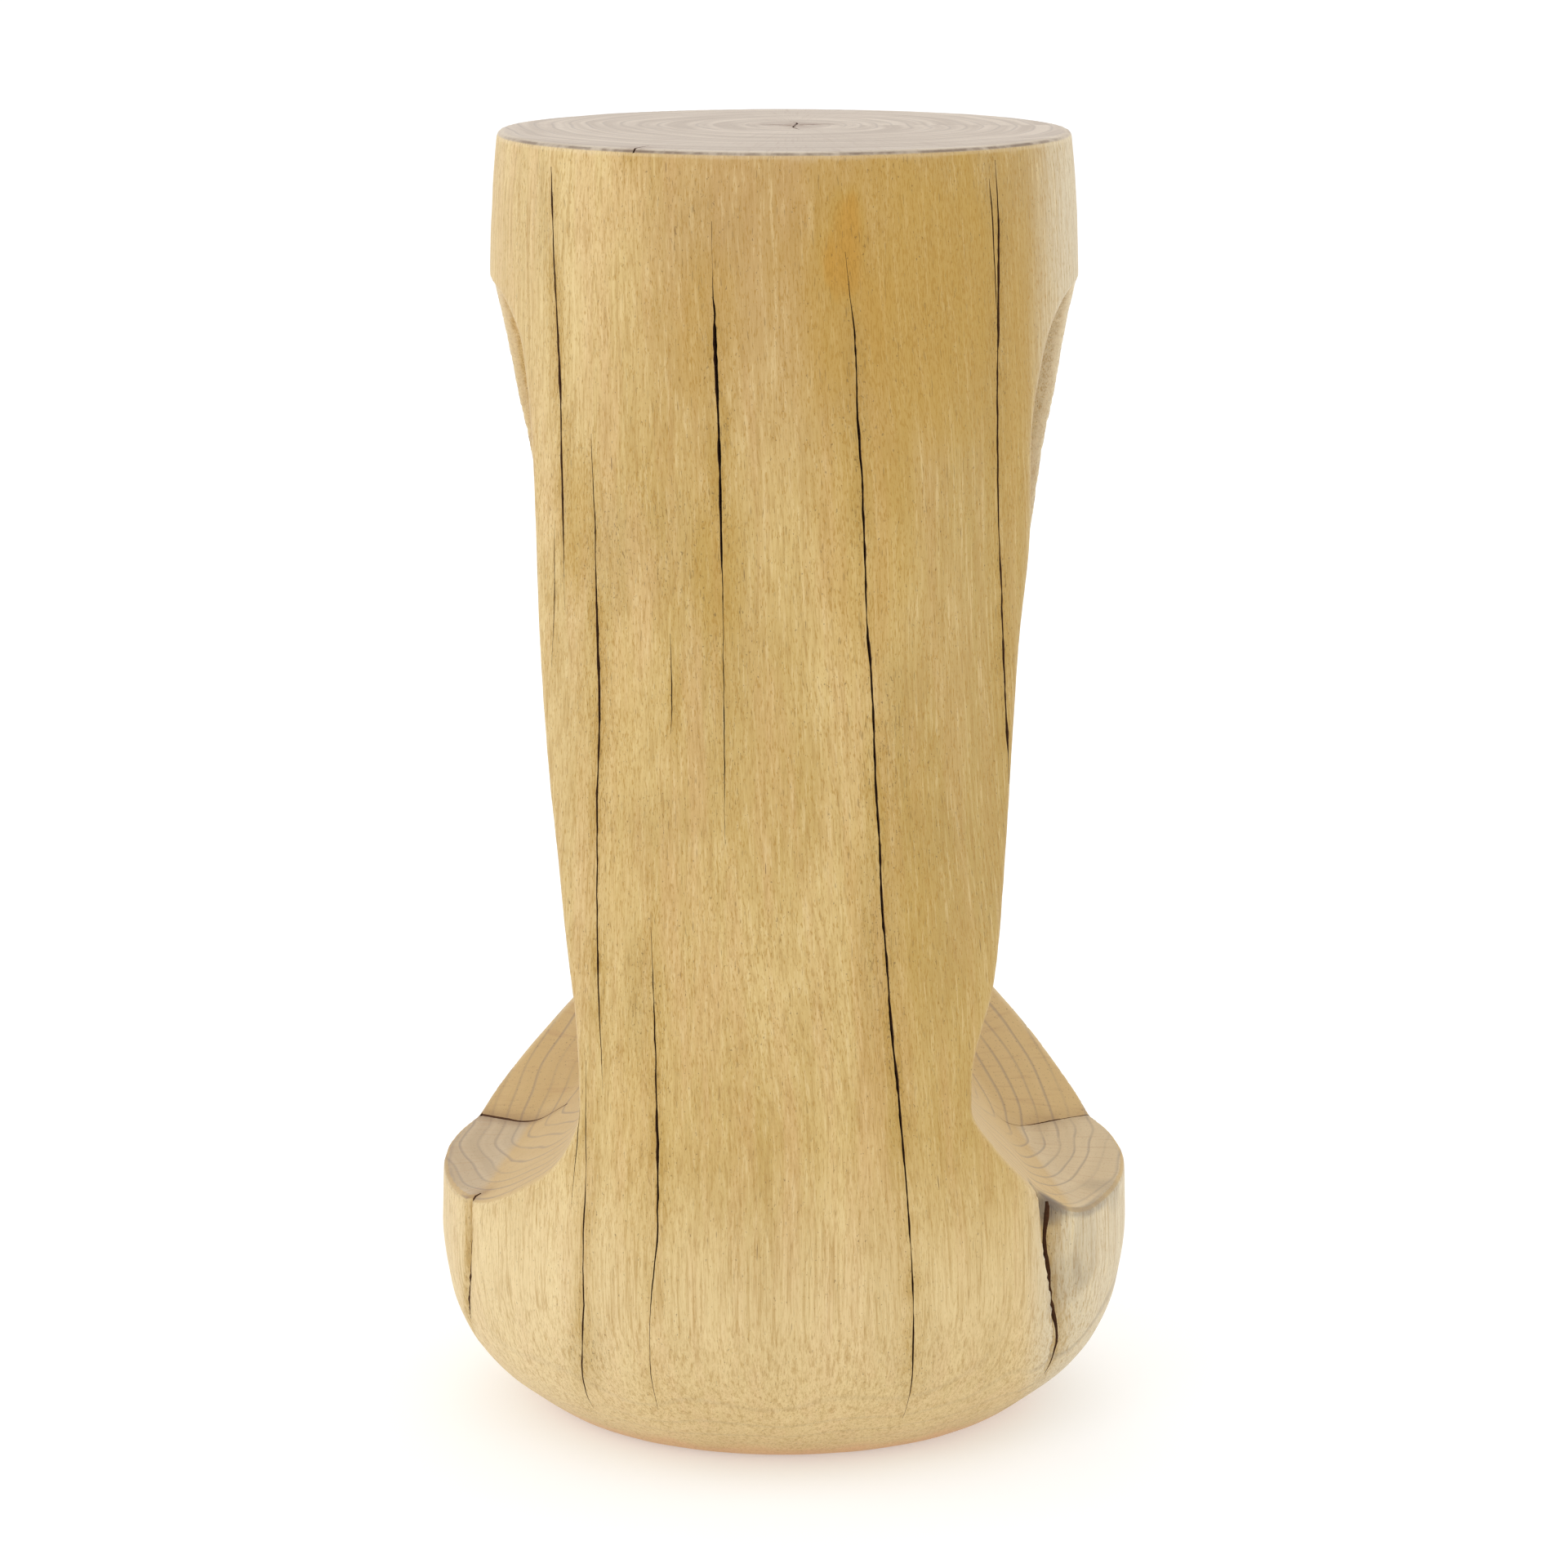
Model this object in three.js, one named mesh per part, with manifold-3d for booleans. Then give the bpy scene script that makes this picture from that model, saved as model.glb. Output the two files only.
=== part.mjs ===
// A crouching fertility figure carved from one log, with a flat end-grain crown that serves as a seat.
// Millimetres, +Z up. The figure faces -Y and its back is the log's own rounded surface at +Y.
// The origin is on the floor, under the middle of the log, which stands on its own flat sawn end.
import * as THREE from "three";
import { mergeVertices } from "three/addons/utils/BufferGeometryUtils.js";
import Module from "manifold-3d";

const wasm = await Module();
wasm.setup();

// ---- Driving dimensions ----
const HEIGHT = 457; // floor to crown
const BASE_R = 124.5; // widest radius of the base, low on the log
const FOOT_R = 85; // radius of the flat sawn end it stands on
const CROWN_R = 99.4; // radius of the flat crown
const ROUND_SEGMENTS = 72;
const FAR = 150; // past every outer surface of the log

// The torso's half width at its back edge, high and low, for each side of the figure.
const SIDES = [
  { sign: 1, wallTop: 88.2, wallLow: 67.6 },
  { sign: -1, wallTop: 86.5, wallLow: 62.8 },
];
const WALL_TOP_Z = 350; // below the overhang's fillet
const WALL_LOW_Z = 140; // above the ledge's fillet
const OVERHANG_Z = 407.5; // underside of the crown band at the sides
const LEDGE_Z = 88; // top of the hips, where it starts to rise into the thighs
const WALL_TAPER = 0.1; // how fast each torso wall runs in towards the front
const WALL_BACK_Y = 80; // where the half widths above are true

// The back of each arm, seen from the side, runs straight from below the shoulder to the knee.
const ARM_TOP = { y: -53.5, z: 330 };
const ARM_SLOPE = 0.259; // forwards for each millimetre down

// The crease between the hip ledge and the thigh is a line out from the axis, turned forwards.
const CREASE_TURN = THREE.MathUtils.degToRad(30.5);
const CREASE_Y = 21; // where both creases would meet behind the axis

// Front carving
const CHEST_Y = -64; // the recessed chest behind the face and belly
const FACE = { y: -46, z: 350, rx: 49, ry: 49, rz: 66 };
const BELLY = { y: -44, z: 198, rx: 46, ry: 58, rz: 53 };
// The shins are cut back by bite above the feet, from inner outwards on each side.
const SHIN = { inner: 38, width: 42, foot: 30, top: 104, bite: 9 };
const FINGERS = { first: 17, step: 4.3, count: 3, low: 106, high: 134, depth: 3, width: 1.1 };
const TOES = { first: 23.5, step: 6.5, count: 4, low: -1, high: 25, depth: 3.5, width: 1.2 };

// ---- Making solids ----
function solid(geometry) {
  const bare = geometry.index ? geometry.toNonIndexed() : geometry.clone();
  bare.deleteAttribute("normal");
  bare.deleteAttribute("uv");
  const merged = mergeVertices(bare, 1e-3);
  const made = new wasm.Manifold(
    new wasm.Mesh({
      numProp: 3,
      vertProperties: new Float32Array(merged.attributes.position.array),
      triVerts: new Uint32Array(merged.index.array),
    }),
  );
  if (made.volume() < 0) throw new Error("a profile runs the wrong way round");
  return made;
}

// The outer skin alone, without crumbs or bubbles left where curved cuts almost meet.
function wholeOf(made) {
  const pieces = made.decompose();
  return pieces.reduce((most, one) => (one.volume() > most.volume() ? one : most));
}

function geometryOf(made) {
  const mesh = made.getMesh();
  const geometry = new THREE.BufferGeometry();
  const count = mesh.numProp;
  const positions = new Float32Array((mesh.vertProperties.length / count) * 3);
  for (let i = 0; i < positions.length / 3; i++) {
    for (let k = 0; k < 3; k++) {
      positions[3 * i + k] = mesh.vertProperties[count * i + k];
    }
  }
  geometry.setAttribute("position", new THREE.BufferAttribute(positions, 3));
  geometry.setIndex(new THREE.BufferAttribute(new Uint32Array(mesh.triVerts), 1));
  const flat = geometry.toNonIndexed();
  flat.computeVertexNormals();
  return flat;
}

// A solid turned about +Z from [radius, height] points, listed from the bottom up.
function turned(points, segments) {
  const profile = points.map(([r, z]) => new THREE.Vector2(r, z));
  const geometry = new THREE.LatheGeometry(profile, segments);
  geometry.rotateX(Math.PI / 2);
  return geometry;
}

// A shape drawn on the plane of directions a and b through origin, extruded along a x b.
function prism(shape, depth, origin, a, b, curveSegments = 8) {
  const geometry = new THREE.ExtrudeGeometry(shape, { depth, bevelEnabled: false, curveSegments });
  const normal = new THREE.Vector3().crossVectors(a, b);
  const basis = new THREE.Matrix4().makeBasis(a, b, normal).setPosition(origin);
  return geometry.applyMatrix4(basis);
}

function ellipsoid(x, y, z, rx, ry, rz, wide = 22, high = 12) {
  const geometry = new THREE.SphereGeometry(1, wide, high);
  geometry.rotateX(Math.PI / 2);
  return geometry.scale(rx, ry, rz).translate(x, y, z);
}

const X = new THREE.Vector3(1, 0, 0);
const Y = new THREE.Vector3(0, 1, 0);
const Z = new THREE.Vector3(0, 0, 1);

// ---- The log before it is carved ----
const LOG_PROFILE = [
  [0, 0],
  [FOOT_R, 0],
  [88.6, 2.5],
  [92.8, 5],
  [99.2, 9],
  [107.4, 17],
  [115.6, 28],
  [121.2, 42],
  [124, 58],
  [BASE_R, 70],
  [123.7, 84],
  [121.9, 100],
  [120.3, 125],
  [117.2, 165],
  [113.3, 215],
  [109.7, 270],
  [106.4, 330],
  [104, 380],
  [103.3, 410],
  [102.2, 435],
  [100.7, 452],
  [CROWN_R, HEIGHT - 0.9],
  [CROWN_R - 1, HEIGHT],
  [0, HEIGHT],
];

function wholeLog() {
  return solid(turned(LOG_PROFILE, ROUND_SEGMENTS));
}

// ---- The deep recess on each side, between back, arm and thigh ----
// Everything outside the torso wall, as seen from behind, with a fillet above and below.
function outsideWall(side) {
  const shape = new THREE.Shape();
  shape.moveTo(FAR, OVERHANG_Z);
  shape.lineTo(104, OVERHANG_Z);
  shape.quadraticCurveTo(side.wallTop + 0.5, 397, side.wallTop, WALL_TOP_Z);
  const middle = (side.wallTop + side.wallLow) / 2 + 6;
  shape.quadraticCurveTo(middle, 260, side.wallLow, WALL_LOW_Z);
  shape.bezierCurveTo(side.wallLow - 1, 112, 85, 98, 112, LEDGE_Z - 5);
  shape.lineTo(FAR, LEDGE_Z - 12);
  shape.closePath();
  const geometry = prism(shape, 2 * FAR, new THREE.Vector3(0, FAR, 0), X, Z);
  const shear = new THREE.Matrix4().set(
    1, WALL_TAPER, 0, -WALL_TAPER * WALL_BACK_Y,
    0, 1, 0, 0,
    0, 0, 1, 0,
    0, 0, 0, 1,
  );
  return geometry.applyMatrix4(shear);
}

// Everything behind the arm, as seen from the side.
function behindArm() {
  const lowZ = 60;
  const shape = new THREE.Shape();
  shape.moveTo(FAR, 420);
  shape.lineTo(FAR, lowZ);
  shape.lineTo(ARM_TOP.y - ARM_SLOPE * (ARM_TOP.z - lowZ), lowZ);
  shape.lineTo(ARM_TOP.y, ARM_TOP.z);
  shape.quadraticCurveTo(-38, 367, -24, 390);
  shape.quadraticCurveTo(-12, 405, 20, OVERHANG_Z);
  shape.lineTo(30, 420);
  shape.closePath();
  return prism(shape, 2 * FAR, new THREE.Vector3(-FAR, 0, 0), Y, Z);
}

// Everything above the hip ledge and the thigh, which rises forwards in a shallow hollow.
function aboveThigh() {
  const shape = new THREE.Shape();
  shape.moveTo(-220, 430);
  shape.lineTo(-220, LEDGE_Z - 11);
  shape.lineTo(0, LEDGE_Z);
  shape.quadraticCurveTo(60, LEDGE_Z + 28, 140, 205);
  shape.lineTo(140, 430);
  shape.closePath();
  const forwards = new THREE.Vector3(-Math.sin(CREASE_TURN), -Math.cos(CREASE_TURN), 0);
  const inwards = new THREE.Vector3().crossVectors(forwards, Z);
  const fromOutside = 200;
  const pastMiddle = 30;
  const start = new THREE.Vector3(0, CREASE_Y, 0).addScaledVector(inwards, -fromOutside);
  return prism(shape, fromOutside + pastMiddle, start, forwards, Z);
}

function sideRecess(side) {
  const cut = solid(outsideWall(side))
    .intersect(solid(behindArm()))
    .intersect(solid(aboveThigh()));
  return side.sign > 0 ? cut : cut.mirror([1, 0, 0]);
}

// ---- The groove that parts the back from each leg, below the ledge ----
const LEG_GROOVE = [
  { sign: 1, x: 111, y: 54, width: 2.6, depth: 3 },
  { sign: -1, x: 94, y: 82, width: 7, depth: 9 },
];

function legGroove({ sign, x, y, width, depth }) {
  const reach = Math.hypot(x, y);
  const out = new THREE.Vector3((sign * x) / reach, y / reach, 0);
  const across = new THREE.Vector3(-out.y, out.x, 0);
  const shape = new THREE.Shape();
  const tip = BASE_R - 3 - depth;
  shape.moveTo(tip, 0);
  shape.lineTo(FAR, -width * 1.6);
  shape.lineTo(FAR, width * 1.6);
  shape.closePath();
  return prism(shape, 100, new THREE.Vector3(0, 0, 10), out, across, 1);
}

// ---- The front: chest recess, head, belly, knees and feet ----
// The recess between the arms, as seen from the front, down to the chest.
function chestRecess() {
  const half = [
    [46, 404],
    [58, 396],
    [56, 330],
    [50, 250],
    [36, 168],
    [28, 140],
    [24, 112],
    [16, 104],
  ];
  const shape = new THREE.Shape();
  shape.moveTo(0, 404);
  for (const [x, z] of half) shape.lineTo(-x, z);
  for (const [x, z] of [...half].reverse()) shape.lineTo(x, z);
  shape.closePath();
  return prism(shape, FAR, new THREE.Vector3(0, CHEST_Y, 0), X, Z);
}

// A shallow ring across each shin, with sloping ends that leave the knee above it and the foot
// below it. Its floor is deepest near the foot, and the log stays whole between the shins.
function shinBite(sign) {
  const { inner, width, foot, top, bite } = SHIN;
  const outside = BASE_R + 20; // well clear of the log, so that only the slopes of the ends matter
  const floor = BASE_R - bite;
  const ring = turned(
    [
      [floor - 4, foot],
      [outside, foot - 6],
      [outside, top + 8],
      [floor + 1, top - 4],
      [floor - 4, top - 24],
      [floor - 6, foot + 20],
      [floor - 4, foot],
    ],
    ROUND_SEGMENTS,
  );
  const front = new THREE.BoxGeometry(width, FAR, FAR);
  front.translate(sign * (inner + width / 2), -FAR / 2, FAR / 2);
  return solid(ring).intersect(solid(front));
}

// Short upright grooves in the log's surface that part the fingers, or the toes.
function digitGrooves(sign, { first, step, count, low, high, depth, width }) {
  const made = [];
  for (let i = 0; i < count; i++) {
    const turn = THREE.MathUtils.degToRad(first + step * i);
    const out = new THREE.Vector3(sign * Math.sin(turn), -Math.cos(turn), 0);
    const across = new THREE.Vector3(-out.y, out.x, 0);
    const surface = radiusAt((low + high) / 2);
    const clear = surface + 12; // outside the log along the whole groove
    const shape = new THREE.Shape();
    shape.moveTo(surface - depth, 0);
    shape.lineTo(clear, -width * 2);
    shape.lineTo(clear, width * 2);
    shape.closePath();
    made.push(solid(prism(shape, high - low, new THREE.Vector3(0, 0, low), out, across, 1)));
  }
  return made;
}

// The log's own radius at a height.
function radiusAt(z) {
  for (let i = 1; i < LOG_PROFILE.length; i++) {
    const [r0, z0] = LOG_PROFILE[i - 1];
    const [r1, z1] = LOG_PROFILE[i];
    if (z1 > z0 && z <= z1) return r0 + ((r1 - r0) * (z - z0)) / (z1 - z0);
  }
  throw new Error("above the log");
}

function head() {
  const { y, z, rx, ry, rz } = FACE;
  const nose = new THREE.Shape();
  nose.moveTo(-5, 398);
  nose.lineTo(-9.5, 338);
  nose.lineTo(9.5, 338);
  nose.lineTo(5, 398);
  nose.closePath();
  const parts = [
    solid(ellipsoid(0, y, z, rx, ry, rz)),
    solid(ellipsoid(0, y + 20, z + 40, rx + 4, ry + 14, 40)),
    solid(prism(nose, 32, new THREE.Vector3(0, y - 20, 0), X, Z)),
  ];
  for (const sign of [-1, 1]) {
    parts.push(solid(ellipsoid(sign * 21, y - 41, z + 14, 12.5, 8, 6.5, 16, 10)));
    parts.push(solid(ellipsoid(sign * 20, y - 36, z + 33, 19, 13, 6, 16, 10)));
    parts.push(solid(ellipsoid(sign * (rx + 1), y + 6, z + 4, 6, 10, 16, 14, 10)));
  }
  parts.push(solid(ellipsoid(0, y - 42, z - 31, 13, 8, 5.5, 16, 10)));
  return parts.reduce((whole, part) => whole.add(part));
}

function belly() {
  const { y, z, rx, ry, rz } = BELLY;
  const whole = solid(ellipsoid(0, y, z, rx, ry, rz));
  return whole.add(solid(ellipsoid(0, y - ry, z + 2, 5, 4, 5, 12, 8)));
}

function carvedLog() {
  const log = wholeLog();
  let body = log;
  for (const side of SIDES) body = body.subtract(sideRecess(side));
  for (const groove of LEG_GROOVE) body = body.subtract(solid(legGroove(groove)));
  body = body.subtract(solid(chestRecess()));
  for (const sign of [-1, 1]) body = body.subtract(shinBite(sign));
  body = body.add(head().add(belly()).intersect(log));
  for (const sign of [-1, 1]) {
    for (const digits of [FINGERS, TOES]) {
      for (const cut of digitGrooves(sign, digits)) body = body.subtract(cut);
    }
  }
  return wholeOf(body);
}

// ---- Assembly ----
const WOOD = new THREE.MeshStandardMaterial({ color: 0xd8bd86, roughness: 0.62, metalness: 0 });

const log = new THREE.Mesh(geometryOf(carvedLog()), WOOD);
log.name = "carved_log";

const figure = new THREE.Group();
figure.add(log);

export default figure;
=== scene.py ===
"""Looks for the carved log figure: the wood as one smooth carved skin with open drying checks.

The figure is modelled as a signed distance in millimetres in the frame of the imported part,
skinned at a fine pitch, split by thin wedges where the wood has cracked, and shaded as
side grain on upright faces and end grain on level ones.
Directions: +Y is the figure's back, which the camera looks at, and +X is the camera's left.
"""
import math

import bpy
import numpy as np
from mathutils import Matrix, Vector
from mathutils.kdtree import KDTree


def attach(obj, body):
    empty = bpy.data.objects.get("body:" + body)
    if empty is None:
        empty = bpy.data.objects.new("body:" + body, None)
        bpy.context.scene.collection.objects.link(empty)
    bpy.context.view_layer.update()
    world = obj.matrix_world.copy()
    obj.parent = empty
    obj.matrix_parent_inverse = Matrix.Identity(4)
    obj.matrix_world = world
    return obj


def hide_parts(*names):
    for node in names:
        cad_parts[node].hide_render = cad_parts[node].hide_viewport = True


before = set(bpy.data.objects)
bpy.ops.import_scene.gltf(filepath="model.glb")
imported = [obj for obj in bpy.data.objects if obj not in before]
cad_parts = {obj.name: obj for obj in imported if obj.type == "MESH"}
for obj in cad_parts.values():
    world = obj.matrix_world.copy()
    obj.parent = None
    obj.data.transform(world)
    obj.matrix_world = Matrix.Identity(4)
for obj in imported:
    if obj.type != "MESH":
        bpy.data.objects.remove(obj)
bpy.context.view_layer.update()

MM = 0.001
TOP_Z = 457.0
PITH = (-4.0, -19.0)  # where the rings centre
RING_SPACING = 6.2
GRAIN_LEAN = 0.04  # sideways for each millimetre up

# ---------------------------------------------------------------- driving shapes (mm)
LOG = [  # height, radius
    (-12, 66), (0, 85), (5, 92.4), (17, 107.4), (28, 115.7), (42, 121.2), (64, 124), (84, 123.5),
    (110, 121.3), (165, 117.2), (270, 109.7), (380, 104), (435, 102.1), (457, 100.2), (470, 98.6),
]
WALL_LEFT = [  # height, half width of the torso at its back edge
    (60, 210), (80, 130), (84, 113), (88, 104), (94, 95.5), (108, 79.5), (118, 73.5), (128, 70.5),
    (147, 70.9), (200, 76.4), (275, 83.3), (350, 86.3), (386, 89.7), (402, 97), (408.5, 108), (411, 125),
]
WALL_RIGHT = [
    (60, 190), (80, 112), (91, 92), (100, 85), (117, 71.5), (130, 64.4), (141, 64.6), (174, 72.5),
    (215, 76), (284, 80.4), (330, 84.6), (356, 84.8), (386, 89.5), (402, 97), (408.5, 108), (411, 125),
]
ARM_BACK = [  # height, how far forward of the axis the back of the arm lies
    (40, 129), (139, 103), (240, 77.5), (316, 57.5), (338, 50.5), (361, 40), (385, 27), (397, 16.5),
    (404.5, 5), (407.5, -24), (409.5, -80), (411, -130),
]
CHEST = [  # height, half width of the recess between the arms at the front
    (90, 13), (104, 17), (112, 24), (140, 29), (168, 37), (250, 50), (330, 56), (396, 58), (410, 58),
]
WALL_TAPER = 0.1
LEDGE = (86.2, 0.045)  # height on the axis, fall towards the back
THIGH_LEFT = (0.46, 0.0028)  # climb beyond the crease, per mm and per mm squared
THIGH_RIGHT = (0.58, 0.0018)
RIGHT_ARM_BACK = 3.0  # how much further back the right arm reaches
CREASE_Y = 21.0
CREASE_TURN = math.radians(30.5)
FINGER_TURNS = (17, 21.3, 25.6)  # degrees from the front
TOE_TURNS = (23.5, 30, 36.5, 43)

# Drying checks: (degrees from +Y towards +X, height, width) along each, after its depth.
CHECKS = {
    "far_left": (9, [(51, 449, 0.2), (50, 437, 0.7), (47.3, 390, 0.9), (45.2, 340, 0.8), (43.8, 300, 0.1)]),
    "left": (10, [(38.4, 361, 0.1), (36.9, 328, 0.6), (35, 280, 1.1), (34.5, 231, 0.7), (33, 176, 0.6),
                  (31.4, 136, 0.1)]),
    "left_low": (9, [(35, 147, 0.1), (34, 110, 0.5), (33.8, 61, 0.6), (35, 43, 0.8), (38, 18, 0.1)]),
    "middle": (15, [(13.6, 434, 0.1), (13.2, 409, 0.25), (12.9, 403, 1.0), (12.1, 370, 1.1), (11.5, 340, 0.9),
                    (11.1, 312, 0.4), (10.4, 250, 0.3), (10.2, 225, 0.1)]),
    "right": (15, [(-11.4, 424, 0.1), (-12.9, 399, 0.6), (-14.4, 350, 0.75), (-14.9, 301, 0.7), (-16, 260, 0.8),
                   (-17, 200, 0.8), (-18.4, 153, 0.85), (-20.2, 108, 0.6), (-21, 60, 0.6), (-22, 20, 0.1)]),
    "far_right": (12, [(-44.4, 452, 0.15), (-44.7, 430, 0.9), (-43.2, 341, 0.65), (-43.5, 262, 0.9),
                       (-43.9, 240, 0.3)]),
    "far_right_strand": (5, [(-42.6, 446, 0.1), (-42.9, 438, 0.5), (-43.3, 420, 0.5), (-43.8, 402, 0.2)]),
    "low": (7, [(23, 196, 0.1), (22.1, 164, 0.5), (20.9, 122, 0.8), (20.6, 88, 0.5), (22.8, 24, 0.1)]),
    "hair_a": (3, [(47.2, 330, 0.1), (46.4, 305, 0.35), (46.6, 280, 0.1)]),
    "hair_b": (3, [(20.5, 296, 0.1), (20.2, 280, 0.3), (20.3, 262, 0.1)]),
    "hair_c": (3, [(36.5, 132, 0.1), (36.2, 118, 0.35), (36.6, 96, 0.1)]),
    "left_groove": (6, [(64.8, 86, 1.3), (64.2, 72, 1.5), (65, 57, 1.5), (68.7, 42, 1.3), (73, 28, 0.2)]),
    "right_groove": (8, [(-52.4, 89, 1.2), (-52.1, 76, 1.3), (-53.8, 53, 1.2), (-56.6, 36, 1.0),
                         (-57.4, 22, 0.2)]),
    "front_left": (6, [(-141, 300, 0.1), (-141, 280, 0.6), (-142, 240, 0.6), (-143, 215, 0.1)]),
    "side_left": (7, [(96, 70, 0.1), (95, 52, 0.5), (97, 22, 0.1)]),
    "side_right": (7, [(-104, 448, 0.1), (-103, 432, 0.6), (-104, 414, 0.2)]),
}
# Creases in the hip ledge and the star of checks at the pith: (x, y, width) along each, after its depth.
LEVEL_CHECKS = {
    "crease_left": (2, [(72, -21.4, 0.15), (86, -29.7, 0.5), (101, -38.5, 1.0), (115, -46.7, 1.1)]),
    "crease_right": (2, [(-76, -23.8, 0.15), (-88, -30.8, 0.35), (-104, -40.3, 0.4), (-115, -46.7, 0.4)]),
    "star_back": (6, [(-4, -17.5, 1.0), (-3, -9, 0.7), (-5.5, 3, 0.1)]),
    "star_left": (4, [(-2.5, -19, 0.8), (5, -21, 0.4), (15, -20, 0.1)]),
    "star_right": (4, [(-5.5, -19.5, 0.8), (-13, -24, 0.4), (-20, -25, 0.1)]),
    "star_front": (4, [(-4, -20.7, 0.8), (-5, -28, 0.4), (-2, -38, 0.1)]),
    "rim_check": (3, [(45, 74, 0.1), (48, 81, 0.5), (50, 87, 0.7)]),
}
STATION = 2.5  # spacing along a check
MOST_TRIANGLES = 180000
CHECK_SLOT = 1  # the material slot of the walls inside the checks
BLADE_LIFT = 3.0  # how far a check's blade stands out of the wood
USUAL_RADIUS = 110  # of the log, for lengths around it
OUTSIDE_RADIUS = 128  # clear of the log everywhere


# ---------------------------------------------------------------- signed distance helpers
def smooth_min(a, b, k):
    h = np.maximum(k - np.abs(a - b), 0.0) / k
    return np.minimum(a, b) - h * h * k * 0.25


def smooth_max(a, b, k):
    return -smooth_min(-a, -b, k)


def step01(a, b, v):
    t = np.clip((v - a) / (b - a), 0.0, 1.0)
    return t * t * (3 - 2 * t)


def monotone_cubic(at, value, where):
    """A smooth curve through the points that never swings past them."""
    run = np.diff(at)
    rise = np.diff(value) / run
    same = rise[1:] * rise[:-1] > 0
    inner = np.where(same, 2 * rise[1:] * rise[:-1] / np.where(same, rise[1:] + rise[:-1], 1), 0)
    slope = np.concatenate([rise[:1], inner, rise[-1:]])
    i = np.clip(np.searchsorted(at, where) - 1, 0, len(run) - 1)
    t = np.clip((where - at[i]) / run[i], 0, 1)
    start = (1 + 2 * t) * (1 - t) ** 2 * value[i] + t * (1 - t) ** 2 * run[i] * slope[i]
    end = t * t * (3 - 2 * t) * value[i + 1] + t * t * (t - 1) * run[i] * slope[i + 1]
    return start + end


class Curve:
    """A smooth curve through the given points, each at a height, with its slope."""

    def __init__(self, points, soft=1.5):
        at, value = np.array(points, float).T
        self.z = np.arange(-10, 470, 0.5)
        reach = int(3 * soft / 0.5)
        kernel = np.exp(-0.5 * (np.arange(-reach, reach + 1) * 0.5 / soft) ** 2)
        padded = np.pad(monotone_cubic(at, value, self.z), reach, mode="edge")
        self.v = np.convolve(padded, kernel / kernel.sum(), mode="valid")
        self.slope = np.gradient(self.v, self.z)

    def __call__(self, z):
        return np.interp(z, self.z, self.v)

    def scale(self, z):
        slope = np.interp(z, self.z, self.slope)
        return 1 / np.sqrt(1 + slope * slope)


def unevenness(x, y, z, size, seed, count=9):
    """A smooth wandering value near -1 to 1 with features of about the given size."""
    rng = np.random.default_rng(seed)
    total = np.zeros_like(x)
    for _ in range(count):
        way = rng.normal(size=3)
        way /= np.linalg.norm(way)
        k = 2 * math.pi / (size * rng.uniform(0.75, 1.6))
        total += np.sin((way[0] * x + way[1] * y + way[2] * z) * k + rng.uniform(0, 2 * math.pi))
    return total / math.sqrt(count * 2)


def ellipsoid(x, y, z, centre, radii):
    px, py, pz = x - centre[0], y - centre[1], z - centre[2]
    k0 = np.sqrt((px / radii[0]) ** 2 + (py / radii[1]) ** 2 + (pz / radii[2]) ** 2)
    k1 = np.sqrt((px / radii[0] ** 2) ** 2 + (py / radii[1] ** 2) ** 2 + (pz / radii[2] ** 2) ** 2)
    return k0 * (k0 - 1) / np.maximum(k1, 1e-6)


def limb(x, y, z, a, b, ra, rb):
    """A tapered rod from a to b."""
    d = [b[i] - a[i] for i in range(3)]
    length2 = sum(c * c for c in d)
    t = ((x - a[0]) * d[0] + (y - a[1]) * d[1] + (z - a[2]) * d[2]) / length2
    t = np.clip(t, 0, 1)
    off = np.sqrt((x - a[0] - t * d[0]) ** 2 + (y - a[1] - t * d[1]) ** 2 + (z - a[2] - t * d[2]) ** 2)
    return off - (ra + (rb - ra) * t)


log_radius = Curve(LOG)
wall_left = Curve(WALL_LEFT)
wall_right = Curve(WALL_RIGHT)
arm_back = Curve(ARM_BACK, 1.0)
chest_half = Curve(CHEST, 3)


def leg_notch(x, y, z):
    """How much the log is cut in along the grooves that part the back from each leg."""
    r = np.hypot(x, y)
    angle = np.degrees(np.arctan2(x, y))
    low = step01(8, 40, z)
    left_at = np.interp(z, (28, 42, 57, 72, 86), (73, 68.7, 65, 64.2, 64.8))
    a = np.radians(angle - left_at) * r
    below = 1 - step01(90, 104, z)
    cut = np.maximum(0, 1 - np.abs(a) / 3.2) * 2.6 * low * below * (1 - 0.55 * (1 - step01(30, 80, z)))
    right_at = -47.4 - 7 * (1 - step01(15, 90, z))
    a = np.radians(right_at - angle) * r  # positive on the leg's side
    deep = step01(12, 80, z)
    steep = np.clip(1 + a / 2.6, 0, 1) * (a <= 0)
    round_in = np.clip(1 - a / 30, 0, 1) ** 2.2 * (a > 0)
    cut = cut + (steep + round_in) * (3 + 14 * deep) * step01(4, 14, z) * below
    return cut


def thigh_top(x, y):
    """The height of the hip ledge and thigh, and how steeply it climbs forwards."""
    s = (CREASE_Y - y) * math.cos(CREASE_TURN) - np.abs(x) * math.sin(CREASE_TURN)
    run = 0.5 * (s + np.sqrt(s * s + 0.8))
    linear, square = (np.where(x > 0, a, b) for a, b in zip(THIGH_LEFT, THIGH_RIGHT))
    height = LEDGE[0] - LEDGE[1] * y + linear * run + square * run * run
    return height, (linear + 2 * square * run) * (s > 0)


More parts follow.
